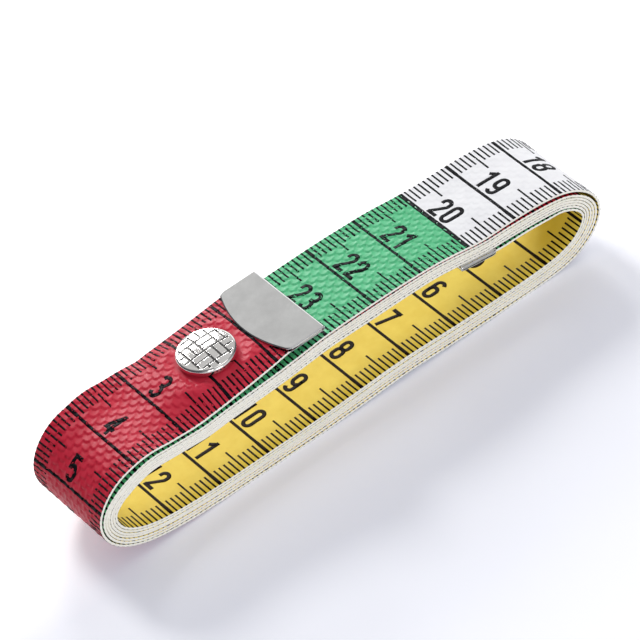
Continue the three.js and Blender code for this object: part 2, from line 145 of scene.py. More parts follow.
# Heights at which these bends begin on the round ends, and over how much height they grow
LEFT_NEAR_RISE, LEFT_FAR_RISE, RIGHT_RISE = (12.0, 6.9), (8.0, 10.9), (6.0, 4.0)
BEND_EASE, BEND_PAST_EDGE = 0.3, 1.05

# Half width of the tape that stays flat, and how much more of it does at the press stud
FLAT_HALF, FLAT_AT_SNAP, FLAT_REACH = 2.0, 2.5, (9.0, 4.0)

# Line of the free inner end under the top of the coil
TAIL = (
    (21.5, 14.72), (31.4, 13.23), (34.0, 13.25), (37.0, 13.12), (40.0, 12.82), (43.0, 12.32),
    (46.0, 11.4),
)
TAIL_BLEND = (45.0, 5.0)
TAIL_ROWS, TAIL_END_ROWS = 160, 8

# Smoothing of the outline, of the edge bends and of the tail, and steps of the outline between two points
CURVE_EASE, EDGE_EASE, TAIL_EASE = 0.9, 0.8, 1.0
CURVE_STEPS = 60

# Where the outer turn comes to lie on the floor and where it leaves it, each over a length
FLOOR_IN, FLOOR_OUT = (62.0, 14.0), (150.0, 12.0)
FLOOR_SHIFT = 0.12

# Where the free end is pressed thinner, under the cap and in the clip
PRESSED_CAP, PRESSED_CLIP = (6.4, 1.4), (11.0, 1.5)

# Embossed weave of the coating
SCALE_LONG, SCALE_WIDE = 2.44, 1.02
SCALE_HIGH = 0.33
SCALE_FRONT, SCALE_SIDE = 1.35, 0.87
SCALE_STEP, SCALE_FALL = 0.38, 0.38
SCALE_LEAN = (-0.64, 0.77)
SCALE_MIDDLE = 0.7
SCALE_ROWS = (-2.0, -1.0, 0.0, 1.0, 2.0)
WOBBLE_ALONG, WOBBLE_ACROSS = 0.03, 0.06
WOBBLE_BY_Y, WOBBLE_BY_S, ROW_WOBBLE_BY_S = 1.7, 0.6, 0.9

# Where the emboss is lower: on white, at the edges, on the left end and on the floor
ON_WHITE, EDGE_CLEAR, EDGE_FADE = 0.28, 0.1, 0.5
LEFT_LESS, LEFT_IN, LEFT_OUT = 0.4, (48.0, 14.0), (90.0, 14.0)
FLOOR_LESS = 0.8
EMBOSS_END, EMBOSS_FADE = 1.0, 2.0

# Reach and fade round the press stud of the seat under the cap and of the smooth ring about it
SEAT, CAP_CLEAR = (7.6, 2.2), (6.5, 1.0)

# Print: film of ink, marks and digits
INK_HIGH, INK_DEEP = 0.03, 0.03
MM_TICK, FIVE_TICK, EDGE_TICK = 3.4, 5.5, 1.6
TICK_WIDE, LINE_WIDE, LINE_END_WIDE, BLOCK_LINE = 0.33, 0.54, 0.64, 0.85
DIGIT_HALF, DIGIT_HIGH, DIGIT_STROKE = 0.80, 4.10, 0.74
DIGIT_PITCH, DIGIT_CLEAR = 2.86, 0.66
FRONT_ASIDE, BACK_ASIDE = 0.42, 0.3
LINE_FLARE = (6.2, 0.5)
HIDDEN_END, END_SHARE, FAINT_TICK = -0.03, 0.6, 0.7

# Lengths along the tape at which its pieces meet, its outer print ends and its inner print begins
SEAM = 50.0
PRINTED_TO, SECOND_TURN_TO, INNER_PRINT_FROM = 276.0, 450.0, 1262.0
UNPRINTED_RIM, RIM_TO = 0.15, 1460.0

# Columns across the tape and its print, and steps along a mark and a digit's stroke
FRONT_COLUMNS, INNER_COLUMNS, FLAP_BACK_COLUMNS, BACK_COLUMNS = 95, 14, 20, 10
PLAIN_COLUMNS, LINE_COLUMNS, STROKE_COLUMNS = 21, 4, 5
FINE_STEP, STROKE_STEP, ARC_POINTS = 0.2, 0.18, 25


def smooth(t):
    """A step from nought to one without corners."""
    t = np.clip(t, 0.0, 1.0)
    return t * t * (3.0 - 2.0 * t)


def ramped(value, start, over):
    """Nought before start, one after a further length over."""
    return smooth((value - start) / over)


def within(value, reach, fade):
    """One well below reach, nought beyond it, with a smooth change over fade."""
    return smooth((reach - value) / fade)


def blurred(values, sigma, closed):
    """Columns of values, one row every STEP, smoothed along their length."""
    reach = int(4.0 * sigma / STEP)
    kernel = np.exp(-0.5 * (np.arange(-reach, reach + 1) * STEP / sigma) ** 2)
    kernel /= kernel.sum()
    wide = np.pad(values, ((reach, reach), (0, 0)), mode="wrap" if closed else "edge")
    return np.stack([np.convolve(wide[:, c], kernel, "valid") for c in range(values.shape[1])], 1)


def closed_curve(points):
    """A smooth closed curve through the points, one row every STEP; x and z lead the columns."""
    after = np.roll(points, -1, 0)
    span = np.hypot(*(after - points)[:, :2].T)[:, None]
    before_span = np.roll(span, 1, 0)
    slope = (after - points) / span
    before_slope = np.roll(slope, 1, 0)
    tangent = (before_slope * span + slope * before_span) / (span + before_span)
    after_tangent = np.roll(tangent, -1, 0)
    fine = []
    for i in range(len(points)):
        t = np.linspace(0.0, 1.0, CURVE_STEPS, endpoint=False)[:, None]
        a, b = points[i], after[i]
        ta, tb = tangent[i] * span[i], after_tangent[i] * span[i]
        fine.append(
            (2 * t**3 - 3 * t**2 + 1) * a + (t**3 - 2 * t**2 + t) * ta
            + (3 * t**2 - 2 * t**3) * b + (t**3 - t**2) * tb
        )
    fine = np.vstack(fine + [points[:1]])
    run = np.concatenate([[0.0], np.cumsum(np.hypot(*np.diff(fine[:, :2], axis=0).T))])
    rows = int(round(run[-1] / STEP))
    at = np.linspace(0.0, run[-1], rows, endpoint=False)
    even = np.stack([np.interp(at, run, fine[:, c]) for c in range(fine.shape[1])], 1)
    return blurred(even, CURVE_EASE, True)


def outward(line, closed):
    """Outward normals of a line that runs left along the top of the coil."""
    if closed:
        along = np.roll(line, -1, 0) - np.roll(line, 1, 0)
    else:
        along = np.gradient(line, axis=0)
    along /= np.hypot(along[:, 0], along[:, 1])[:, None]
    return np.stack([along[:, 1], -along[:, 0]], 1)


def flap_lift(from_fold):
    """How far the free end stands out from the coil, by length from the fold line."""
    snap = FLAP_LENGTH - SNAP_FROM_ZERO
    rise = smooth((from_fold - FLAP_RISE_FROM) / (snap - SNAP_FLAT + FLAP_RISE_PAST - FLAP_RISE_FROM))
    bend = np.maximum(from_fold - snap - SNAP_FLAT, 0.0)
    bent = np.minimum(bend, FLAP_LENGTH - CLIP_REAR - snap - SNAP_FLAT)
    return FLAP_LIFT * rise + FLAP_CURL * bent * (bend - bent / 2.0)


def by_x(table, x):
    """Values of a table at x, in between its rows too."""
    xs, values = np.array(table).T
    return np.interp(x, xs, values)


def wound_path():
    """Rows along the tape: x and z of its front face, its edges' bends near and far; facing and length."""
    outer = np.array(LEFT_END + FOOT + RIGHT_END + TOP)
    crown_x = np.array(CROWN_AT)
    crown_z = CROWN_Z + np.sqrt(CROWN_RADIUS**2 - (crown_x - CROWN_X) ** 2)
    crown_pitch = by_x(CROWN_PITCH, crown_x)
    crown = np.stack([crown_x, crown_z, CAD_PITCH - crown_pitch, crown_pitch], 1)
    fold_pitch = CROWN_PITCH[0][1]
    start = np.array([[FOLD[0], FOLD[1], CAD_PITCH - fold_pitch, fold_pitch]])
    turn = closed_curve(np.vstack([start, outer, crown]))
    normal = outward(turn[:, :2], True)
    point, room, pitch = turn[:, :2], turn[:, 2], turn[:, 3]
    to_fold = (len(turn) - np.arange(len(turn))) * STEP
    climb = smooth((CLIMB_FROM - to_fold) / (CLIMB_FROM - CLIMB_TO))
    on_top = normal[:, 1] > TOP_FACING
    left = point[:, 0] < FOLD[0]
    free = to_fold <= FLAP_LENGTH
    x = point[free, 0]
    lifted = point[free] + normal[free] * flap_lift(to_fold[free])[:, None]
    rows = [np.column_stack([lifted, by_x(FLAP_NEAR, x), by_x(FLAP_FAR, x)])]
    kinds = [np.zeros(len(x), int)]
    for k in range(TURNS):
        q = k + climb
        depth = pitch * q + room * np.minimum(q, 1.0)
        depth = depth + ROOM_BELOW_SECOND * on_top * np.clip(q - 1.0, 0.0, 1.0)
        face = point - normal * depth[:, None]
        inner = smooth(q)
        left_near = STACK_NEAR[0][1] * ramped(point[:, 1], *LEFT_NEAR_RISE)
        left_far = ramped(point[:, 1], *LEFT_FAR_RISE)
        near = np.where(left, left_near, by_x(STACK_NEAR, point[:, 0]) * on_top)
        far = np.where(left, STACK_FAR[0][1] * left_far, by_x(STACK_FAR, point[:, 0]) * on_top)
        right = (point[:, 0] > 0.0) * ramped(point[:, 1], *RIGHT_RISE)
        outer_near = by_x(END_NEAR, point[:, 0]) * right
        outer_far = np.where(left, FLAP_FAR[0][1] * left_far, by_x(END_FAR, point[:, 0]) * right)
        row = np.column_stack([
            face, near * inner + outer_near * (1.0 - inner), far * inner + outer_far * (1.0 - inner),
        ])
        kind = np.where(normal[:, 1] < FOOT_FACING, 1, 0) if k == 0 else np.full(len(turn), 2)
        if k == TURNS - 1:
            tail = on_top & (point[:, 0] > 0.0)
            share = within(face[:, 0], *TAIL_BLEND) * tail
            row[:, 1] += (by_x(TAIL, face[:, 0]) - row[:, 1]) * share
            last = np.argmax(tail & (face[:, 0] < INNER_END_X))
            row = row[:last]
            kind = np.zeros(last, int)
        rows.append(row)
        kinds.append(kind)
    path = np.vstack(rows)
    kind = np.concatenate(kinds)[1:]
    path[:, 2:] = blurred(path[:, 2:], EDGE_EASE, False)
    eased = blurred(path[-2 * TAIL_ROWS:, :2], TAIL_EASE, False)[TAIL_ROWS:-TAIL_END_ROWS]
    path[-TAIL_ROWS:, :2] = np.vstack([eased, path[-TAIL_END_ROWS:, :2]])
    facing = outward(path[:, :2], False)
    middle = path[:, :2] - facing * TAPE_THICK / 2.0
    run = np.hypot(*np.diff(middle, axis=0).T)
    # The printed scale takes up the small error of the traced outline where the print is hidden
    under_zero = len(rows[0]) + len(turn) - int(FLAP_LENGTH / STEP)
    share = (OUTER_TURN_LENGTH - run[:under_zero].sum()) / run[kind == 1].sum()
    run[kind == 1] *= 1.0 + share
    inner_share = (TAPE_LENGTH - INNER_SET_BACK - CLIP_FOLD - run.sum()) / run[kind == 2].sum()
    run[kind == 2] *= 1.0 + inner_share
    print(f"scale under the coil {share:+.4f}, in the hidden turns {inner_share:+.4f}")
    return path, facing, np.concatenate([[0.0], np.cumsum(run)])


path, facing, path_length = wound_path()
path_fields = np.column_stack([path, facing])


def bent(y, near, far, flat):
    """Displacement out of the tape's face at y across it."""
    t = np.clip((np.abs(y) - flat) / (HALF_WIDTH - flat), 0.0, BEND_PAST_EDGE)
    share = np.where(t < BEND_EASE, t * t / (2.0 * BEND_EASE), t - BEND_EASE / 2.0)
    return share / (1.0 - BEND_EASE / 2.0) * np.where(y < 0.0, near, far)


def on_floor(s):
    """One where the outer turn lies on what carries the coil."""
    return ramped(s, *FLOOR_IN) * within(s, *FLOOR_OUT)


def place(s, y, h):
    """Points in metres at length s along the tape, y across it and h out of its front face."""
    s, y, h = np.broadcast_arrays(np.asarray(s, float), y, h)
    x, z, near, far, nx, nz = (np.interp(s, path_length, path_fields[:, c]) for c in range(6))
    length = np.hypot(nx, nz)
    from_snap = np.abs(s - SNAP_FROM_ZERO)
    from_snap = np.minimum(from_snap, np.abs(s - SNAP_FROM_ZERO - OUTER_TURN_LENGTH))
    flat = FLAT_HALF + FLAT_AT_SNAP * within(from_snap, *FLAT_REACH)
    out = h + bent(y, near, far, flat)
    wander = sum(high * np.sin(s / long + start) for high, long, start in WANDER)
    turns_in = np.clip((s - TELESCOPE_FROM) / TELESCOPE_TURN, 0.0, TELESCOPE_TURNS)
    side = y + wander * ramped(s, *WANDER_IN) + TELESCOPE * turns_in - FLOOR_SHIFT * on_floor(s)
    return np.stack([x + nx / length * out, side, z + nz / length * out], -1) * MM


def thickness(s, y):
    """Thickness of the tape, less where it is pressed."""
    from_snap = np.hypot(s - SNAP_FROM_ZERO, y)
    pressed = np.maximum(within(from_snap, *PRESSED_CAP), within(s, *PRESSED_CLIP))
    return TAPE_THICK - (TAPE_THICK - FLAP_THICK) * pressed


# The four colours follow each other in blocks along the tape, and white is the second
BLOCK, COLOURS, WHITE = 100.0, 4, 1


def weave(s, y):
    """Height of the front face: embossed scales, each over the next, and the seat of the cap."""
    wobble = np.sin(WOBBLE_BY_Y * y) + np.sin(WOBBLE_BY_S * s + y)
    along = s / SCALE_LONG + WOBBLE_ALONG * wobble
    across = y / SCALE_WIDE + WOBBLE_ACROSS * np.sin(ROW_WOBBLE_BY_S * s)
    first_row = np.floor(across)
    highest = np.zeros(np.broadcast(s, y).shape)
    for beyond in SCALE_ROWS:
        row = first_row + beyond
        shifted = along + 0.5 * (row % 2.0)
        over = (across - row) * SCALE_WIDE
        for middle in (np.floor(shifted), np.floor(shifted) + 1.0):
            ahead = (shifted - middle) * SCALE_LONG
            back = ahead * SCALE_LEAN[0] + over * SCALE_LEAN[1]
            side = ahead * SCALE_LEAN[1] - over * SCALE_LEAN[0]
            rounded = np.sqrt(np.maximum(1.0 - (side / SCALE_SIDE) ** 2, 0.0))
            into = np.where(np.abs(side) < SCALE_SIDE, back + SCALE_FRONT * rounded, 0.0)
            scale = smooth(into / SCALE_STEP) * (1.0 - SCALE_FALL * np.maximum(into, 0.0))
            highest = np.maximum(highest, scale)
    block = np.floor(s / BLOCK) % COLOURS
    high = np.where(block == WHITE, ON_WHITE, 1.0) * within(np.abs(y), HALF_WIDTH - EDGE_CLEAR, EDGE_FADE)
    high = high * (1.0 - LEFT_LESS * ramped(s, *LEFT_IN) * within(s, *LEFT_OUT))
    shown = within(s, PRINTED_TO - EMBOSS_END, EMBOSS_FADE) * (1.0 - FLOOR_LESS * on_floor(s))
    from_snap = np.hypot(s - SNAP_FROM_ZERO, y)
    clear = 1.0 - within(from_snap, *CAP_CLEAR)
    emboss = SCALE_HIGH * (highest - SCALE_MIDDLE) * high * shown * clear
    return emboss - SNAP_SINK * within(from_snap, *SEAT)


def skin(s, across, lift, front):
    """Points on the tape's skin: across runs over the face and on down its cut edge."""
    s, across, lift = np.broadcast_arrays(np.asarray(s, float), across, lift)
    side = np.sign(across)
    past = np.maximum(np.abs(across) - (HALF_WIDTH - EDGE_ROUND), 0.0)
    turn = np.minimum(past, EDGE_ROUND * math.sqrt(2.0)) / math.sqrt(2.0)
    down = np.maximum(past - EDGE_ROUND * math.sqrt(2.0), 0.0)
    lean = np.clip(past / (EDGE_ROUND * math.sqrt(2.0)), 0.0, 1.0)
    y = np.clip(across, EDGE_ROUND - HALF_WIDTH, HALF_WIDTH - EDGE_ROUND) + side * turn
    h = -turn - down + lift * np.cos(lean * math.pi / 2.0)
    y = y + side * lift * np.sin(lean * math.pi / 2.0)
    if front:
        return place(s, y, h + weave(s, across))
    return place(s, y, -thickness(s, y) - h)


def grid_quads(index):
    """Quads of a grid of point numbers."""
    return np.stack([index[:-1, :-1], index[1:, :-1], index[1:, 1:], index[:-1, 1:]], -1).reshape(-1, 4)


def mesh_object(name, points, quads, materials, slots=None, extra=()):
    """A mesh object from an array of points, quads and further faces, with outward normals."""
    mesh = bpy.data.meshes.new(name)
    faces = [tuple(f) for f in np.asarray(quads).tolist()] + [tuple(f) for f in extra]
    mesh.from_pydata([tuple(p) for p in np.asarray(points).tolist()], [], faces)
    for material in materials:
        mesh.materials.append(material)
    if slots is not None:
        wanted = np.zeros(len(faces), np.int32)
        wanted[: len(slots)] = slots
        mesh.polygons.foreach_set("material_index", wanted)
    mesh.polygons.foreach_set("use_smooth", [True] * len(faces))
    shape = bmesh.new()
    shape.from_mesh(mesh)
    bmesh.ops.recalc_face_normals(shape, faces=shape.faces)
    shape.to_mesh(mesh)
    shape.free()
    thing = bpy.data.objects.new(name, mesh)
    bpy.context.scene.collection.objects.link(thing)
    return thing


# Materials: scale and detail of each noise, in features per metre, and depth of the finest grain
COAT_TONE, COAT_SHEEN, COAT_GRAIN, COAT_DEEP = (420.0, 4.0), (900.0, 3.0), (3800.0, 2.0), 0.00004
PLATE_TONE, PLATE_SHEEN, PLATE_GRAIN, PLATE_DEEP = (260.0, 3.0), (1400.0, 4.0), (2600.0, 3.0), 0.00002
SHEEN_RANGE, PLATE_RANGE = 0.06, 0.2
NOISE_LOW, NOISE_HIGH, PLATE_LOW, PLATE_HIGH = 0.3, 0.7, 0.35, 0.65


def new_material(name):
    """A material, its nodes and its main shader."""
    material = bpy.data.materials.new(name)
    material.use_nodes = True
    tree = material.node_tree
    return material, tree, tree.nodes["Principled BSDF"]


def linear(code):
    """Linear colour of a six-digit sRGB code."""
    parts = [int(code[i:i + 2], 16) / 255.0 for i in (0, 2, 4)]
    flat = [p / 12.92 if p <= 0.04045 else ((p + 0.055) / 1.055) ** 2.4 for p in parts]
    return (*flat, 1.0)


def noise(tree, scale, detail, stretch=None):
    """A noise texture in the object's own metres, its features about 1 / scale long."""
    place_node = tree.nodes.new("ShaderNodeTexCoord")
    out = place_node.outputs["Object"]
    if stretch is not None:
        mapping = tree.nodes.new("ShaderNodeMapping")
        mapping.inputs["Scale"].default_value = stretch
        tree.links.new(out, mapping.inputs["Vector"])
        out = mapping.outputs["Vector"]
    texture = tree.nodes.new("ShaderNodeTexNoise")
    texture.inputs["Scale"].default_value = scale
    texture.inputs["Detail"].default_value = detail
    tree.links.new(out, texture.inputs["Vector"])
    return texture.outputs["Fac"]


def ramp(tree, value, stops):
    """Colours by value, through the stops."""
    node = tree.nodes.new("ShaderNodeValToRGB")
    node.color_ramp.elements[0].position = stops[0][0]
    node.color_ramp.elements[0].color = stops[0][1]
    node.color_ramp.elements[1].position = stops[-1][0]
    node.color_ramp.elements[1].color = stops[-1][1]
    for position, colour in stops[1:-1]:
        node.color_ramp.elements.new(position).color = colour
    tree.links.new(value, node.inputs["Fac"])
    return node.outputs["Color"]


def spread(tree, value, low, high):
    """A noise's usual range, brought between low and high."""
    node = tree.nodes.new("ShaderNodeMapRange")
    node.inputs["From Min"].default_value = NOISE_LOW
    node.inputs["From Max"].default_value = NOISE_HIGH
    node.inputs["To Min"].default_value = low
    node.inputs["To Max"].default_value = high
    tree.links.new(value, node.inputs["Value"])
    return node.outputs["Result"]


def bump(tree, value, strength, distance):
    node = tree.nodes.new("ShaderNodeBump")
    node.inputs["Strength"].default_value = strength
    node.inputs["Distance"].default_value = distance
    tree.links.new(value, node.inputs["Height"])
    return node.outputs["Normal"]


def coated(name, dark, light, rough, grain=0.25, sheen_level=0.18):
    """Printed coating: a little uneven in tone and sheen, with a fine grain."""
    material, tree, shader = new_material(name)
    tone = ramp(tree, noise(tree, *COAT_TONE), ((NOISE_LOW, linear(dark)), (NOISE_HIGH, linear(light))))
    tree.links.new(tone, shader.inputs["Base Color"])
    sheen = spread(tree, noise(tree, *COAT_SHEEN), rough - SHEEN_RANGE, rough + SHEEN_RANGE)
    tree.links.new(sheen, shader.inputs["Roughness"])
    fine = bump(tree, noise(tree, *COAT_GRAIN), grain, COAT_DEEP)
    tree.links.new(fine, shader.inputs["Normal"])
    shader.inputs["Specular IOR Level"].default_value = sheen_level
    return material


def metal(name, dark, light, rough, stretch, grain):
    """Nickel plate: faint drawn lines or handling marks in its sheen."""
    material, tree, shader = new_material(name)
    shader.inputs["Metallic"].default_value = 1.0
    tone = ramp(tree, noise(tree, *PLATE_TONE), ((PLATE_LOW, linear(dark)), (PLATE_HIGH, linear(light))))
    tree.links.new(tone, shader.inputs["Base Color"])
    uneven = noise(tree, *PLATE_SHEEN, stretch)
    sheen = spread(tree, uneven, rough * (1.0 - PLATE_RANGE), rough * (1.0 + PLATE_RANGE))
    tree.links.new(sheen, shader.inputs["Roughness"])
    fine = bump(tree, noise(tree, *PLATE_GRAIN, stretch), grain, PLATE_DEEP)
    tree.links.new(fine, shader.inputs["Normal"])
    return material


red = coated("coat_red", "C02238", "CE2E44", 0.42)
white = coated("coat_white", "E8E8EB", "EFEFF1", 0.45, 0.15)
green = coated("coat_green", "4CB47C", "5AC28A", 0.42)
yellow = coated("coat_yellow", "EAD04E", "F1DA5C", 0.42, 0.3)
edge = coated("cut_edge", "F6F3EA", "FBFAF4", 0.6, 0.2)
ink_front = coated("ink_blue_black", "07080C", "0D0F15", 0.45, 0.2, 0.06)
ink_back = coated("ink_brown_black", "140906", "1C0E09", 0.45, 0.15, 0.06)
satin_nickel = metal("satin_nickel", "C6C6C5", "D0D0CF", 0.15, (1.0, 6.0, 1.0), 0.05)
bright_nickel = metal("bright_nickel", "D8D6D3", "E2E0DD", 0.08, None, 0.05)
# Dark nickel painted into the cap's grooves as shade
groove_painted_shade = metal("groove_painted_shade", "5A5958", "686765", 0.3, None, 0.1)
spring_steel = metal("spring_steel", "97999C", "A6A8AB", 0.26, None, 0.1)

TAPE_MATERIALS = [red, white, green, yellow, yellow, edge]
BACK_SLOT, EDGE_SLOT = 4, 5


def tape_strip(name, s, front_columns, back_columns, rim=0.0):
    """One closed length of the tape, its front, back and cut edges in their own materials."""
    face = HALF_WIDTH - EDGE_ROUND
    front_y = np.linspace(-face, face, front_columns)
    if rim > 0.0:
        front_y[1:-1] = np.linspace(rim - face, face - rim, front_columns - 2)
    back_y = np.linspace(face, -face, back_columns)
    column = s[:, None]
    front_points = place(column, front_y[None, :], weave(column, front_y[None, :]))
    back_points = place(column, back_y[None, :], -thickness(column, back_y[None, :]))
    side = np.array([HALF_WIDTH])
    deep = thickness(column, side[None, :])
    rings = [
        front_points,
        place(column, side[None, :], -EDGE_ROUND),
        place(column, side[None, :], EDGE_ROUND - deep),
        back_points,
        place(column, -side[None, :], EDGE_ROUND - deep),
        place(column, -side[None, :], -EDGE_ROUND),
    ]
    ring = np.concatenate(rings, 1)
    rows, around = ring.shape[:2]
    index = np.arange(rows * around).reshape(rows, around)
    after = np.roll(index, -1, 1)
    quads = np.stack([index[:-1], after[:-1], after[1:], index[1:]], -1).reshape(-1, 4)
    middle = (s[:-1] + s[1:]) / 2.0
    block = (np.floor(middle / BLOCK) % COLOURS).astype(int)
    kind = np.full((rows - 1, around), EDGE_SLOT)
    kind[:, : front_columns - 1] = block[:, None]
    if rim > 0.0:
        bare = (middle > SECOND_TURN_TO) & (middle < RIM_TO)
        kind[bare, 0] = EDGE_SLOT
        kind[bare, front_columns - 2] = EDGE_SLOT
    kind[:, front_columns + 2 : front_columns + back_columns + 1] = BACK_SLOT
    ends = [index[0].tolist(), index[-1][::-1].tolist()]
    strip = mesh_object(name, ring.reshape(-1, 3), quads, TAPE_MATERIALS, kind.reshape(-1), ends)
    for end in range(len(quads), len(quads) + len(ends)):
        strip.data.polygons[end].material_index = EDGE_SLOT
    return strip


# Rows along the tape: fewer where it lies on the floor, where the free end covers it and inside the coil
FLOOR_FROM, FLOOR_TO = FLOOR_IN[0] + FLOOR_IN[1], FLOOR_OUT[0] - FLOOR_OUT[1]
FLAP_ROWS = 250
FINE_ROW, FLOOR_ROW, SECOND_ROW, HIDDEN_ROW, INNER_ROW = 0.2, 0.5, 0.25, 0.8, 0.3
SECOND_LEAST, INNER_LEAST = 0.1, 0.15
tape_end = path_length[-1]
flap_s = np.linspace(CLIP_FOLD, SEAM, FLAP_ROWS)
outer_s = np.concatenate([
    np.arange(SEAM, FLOOR_FROM, FINE_ROW),
    np.arange(FLOOR_FROM, FLOOR_TO, FLOOR_ROW),
    np.arange(FLOOR_TO, OUTER_TURN_LENGTH, FINE_ROW),
    np.arange(OUTER_TURN_LENGTH, PRINTED_TO - SECOND_LEAST, SECOND_ROW),
    [PRINTED_TO],
])
inner_s = np.concatenate([
    np.arange(PRINTED_TO, INNER_PRINT_FROM, HIDDEN_ROW),
    np.arange(INNER_PRINT_FROM, tape_end - INNER_LEAST, INNER_ROW),
    [tape_end],
])
flap = tape_strip("tape_free_end", flap_s, FRONT_COLUMNS, FLAP_BACK_COLUMNS)
outer_turn = tape_strip("tape_outer_turn", outer_s, FRONT_COLUMNS, BACK_COLUMNS)
inner_turns = tape_strip("tape_inner_turns", inner_s, INNER_COLUMNS, BACK_COLUMNS, UNPRINTED_RIM)


# Print: ticks, lines and digits as thin films of ink that lie on the tape
class Ink:
    def __init__(self):
        self.points = {True: [], False: []}
        self.quads = {True: [], False: []}
        self.count = {True: 0, False: 0}

    def ribbon(self, front, line, half, columns=2):
        """A film along a line of (s, across) points, half its width on either side."""
        line = np.asarray(line, float)
        along = np.gradient(line, axis=0)
        along /= np.hypot(along[:, 0], along[:, 1])[:, None]
        aside = np.stack([-along[:, 1], along[:, 0]], 1) * np.asarray(half, float).reshape(-1, 1)
        share = np.linspace(-1.0, 1.0, columns)
        flat = line[:, None, :] + aside[:, None, :] * share[None, :, None]
        rows = len(line)
        layers = []
        for lift in (INK_HIGH, -INK_DEEP):
            layers.append(np.concatenate([flat, np.full((rows, columns, 1), lift)], 2))
        index = np.arange(2 * rows * columns).reshape(2, rows, columns) + self.count[front]
        top, low = index
        quads = [grid_quads(top), grid_quads(low[:, ::-1])]
        for column in (0, columns - 1):
            a, b = top[:, column], low[:, column]
            quads.append(np.stack([a[:-1], b[:-1], b[1:], a[1:]], -1))
        for row in (0, rows - 1):
            a, b = top[row], low[row]
            quads.append(np.stack([a[:-1], a[1:], b[1:], b[:-1]], -1))
        self.points[front].append(np.stack(layers).reshape(-1, 3))
        self.quads[front].append(np.concatenate([q.reshape(-1, 4) for q in quads]))
        self.count[front] += 2 * rows * columns

    def tick(self, front, s, long, wide, fine, end):
        """A mark in from both edges, as far out across the rounded edge as end says."""
        steps = max(int(long / FINE_STEP), 2) if fine else 2
        inner = np.linspace(HALF_WIDTH - long, HALF_WIDTH - EDGE_ROUND + min(end, 0.0), steps)
        if end > 0.0:
            inner = np.append(inner, HALF_WIDTH - EDGE_ROUND + np.array([0.5, 1.0]) * end)
        for side in (-1.0, 1.0):
            line = np.stack([np.full(len(inner), s), side * inner], 1)
            self.ribbon(front, line, wide / 2.0)

    def line(self, front, s, fine):
        """A line across the whole tape, wider toward its ends, and widest between two colours."""
        face = HALF_WIDTH - EDGE_ROUND / 2.0
        across = np.linspace(-face, face, FRONT_COLUMNS if fine else PLAIN_COLUMNS)
        wide = LINE_WIDE + (LINE_END_WIDE - LINE_WIDE) * ramped(np.abs(across), *LINE_FLARE)
        if front and s % BLOCK == 0:
            wide = np.full(len(across), BLOCK_LINE)
        self.ribbon(front, np.stack([np.full(len(across), s), across], 1), wide / 2.0, LINE_COLUMNS)

    def number(self, front, value):
        """A number on the lower side of its line, read from the far edge to the near one."""
        text = str(value)
        for i, digit in enumerate(text):
            shift = (i - (len(text) - 1) / 2.0) * DIGIT_PITCH
            for stroke in DIGITS[digit]:
                run = resampled(np.asarray(stroke, float), STROKE_STEP)
                scale = 10.0 * value - DIGIT_CLEAR - DIGIT_STROKE / 2.0 - run[:, 1]
                s = scale if front else TAPE_LENGTH - scale
                across = (FRONT_ASIDE if front else BACK_ASIDE) - run[:, 0] - shift
                self.ribbon(front, np.stack([s, across], 1), DIGIT_STROKE / 2.0, STROKE_COLUMNS)

    def build(self, name, front, material):
        flat = np.concatenate(self.points[front])
        quads = np.concatenate(self.quads[front])
        points = skin(flat[:, 0], flat[:, 1], flat[:, 2], front)
        return mesh_object(name, points, quads, [material])


def resampled(line, most):
    """The line with points no further apart than most."""
    run = np.concatenate([[0.0], np.cumsum(np.hypot(*np.diff(line, axis=0).T))])
    at = np.linspace(0.0, run[-1], max(int(math.ceil(run[-1] / most)), 2) + 1)
    return np.stack([np.interp(at, run, line[:, c]) for c in range(2)], 1)


def arc(x, y, wide, high, start, end):
    """Points of an ellipse's arc, its angles in degrees."""
    a = np.radians(np.linspace(start, end, ARC_POINTS))
    return [(x + wide * math.cos(t), y + high * math.sin(t)) for t in a]


def loop(low, high, half):
    """A closed upright loop with round ends."""
    ring = arc(0.0, high - half, half, half, 0.0, 180.0) + arc(0.0, low + half, half, half, 180.0, 360.0)
    return ring + ring[:2]


def digit_strokes():
    """Centre lines of the ten digits' strokes."""
    w, h, e = DIGIT_HALF, DIGIT_HIGH, DIGIT_STROKE / 2.0
    two = [(-w, h - 1.2), (-w, h - w)] + arc(0.0, h - w, w, w, 175.0, 0.0)
    two += arc(0.0, h - w - 0.35, w, w, 0.0, -38.0) + [(-w + 0.06, 0.12)]
    three = arc(0.0, h - 0.93, w, 0.93, 160.0, -82.0)
    three_low = arc(0.0, 1.08, w, 1.08, 84.0, -160.0)
    five_bowl = [(-0.72, 1.95)] + arc(0.0, 1.25, w, 1.25, 128.0, -155.0)
    six_stem = [(-w, 1.2), (-w, h - w)] + arc(0.0, h - w, w, w, 178.0, 22.0)
    nine_stem = [(-x, h - y) for x, y in six_stem]
    return {
        "0": [loop(0.0, h, w)],
        "1": [[(0.28, -e), (0.28, h + e)], [(0.28, h - 0.05), (-0.82, h - 0.95)]],
        "2": [two, [(-w - e + 0.05, 0.0), (w + e - 0.05, 0.0)]],
        "3": [three, three_low, [(-0.3, h - 1.88), (0.3, h - 1.88)]],
        "4": [[(0.42, -e), (0.42, h + e)], [(0.34, h), (-w, 0.95)], [(-w - e + 0.05, 0.95), (w + e, 0.95)]],
        "5": [[(-0.72 - e, h), (w + 0.12, h)], [(-0.72, h), (-0.72, 1.75)], five_bowl],
        "6": [loop(0.0, 2.5, w), six_stem],
        "7": [[(-w - e + 0.08, h), (w + e - 0.05, h)], [(w - 0.1, h), (-0.42, -e)]],
        "8": [loop(2.12, h, w * 0.93), loop(0.0, 2.18, w)],
        "9": [loop(h - 2.5, h, w), nine_stem],
    }


DIGITS = digit_strokes()


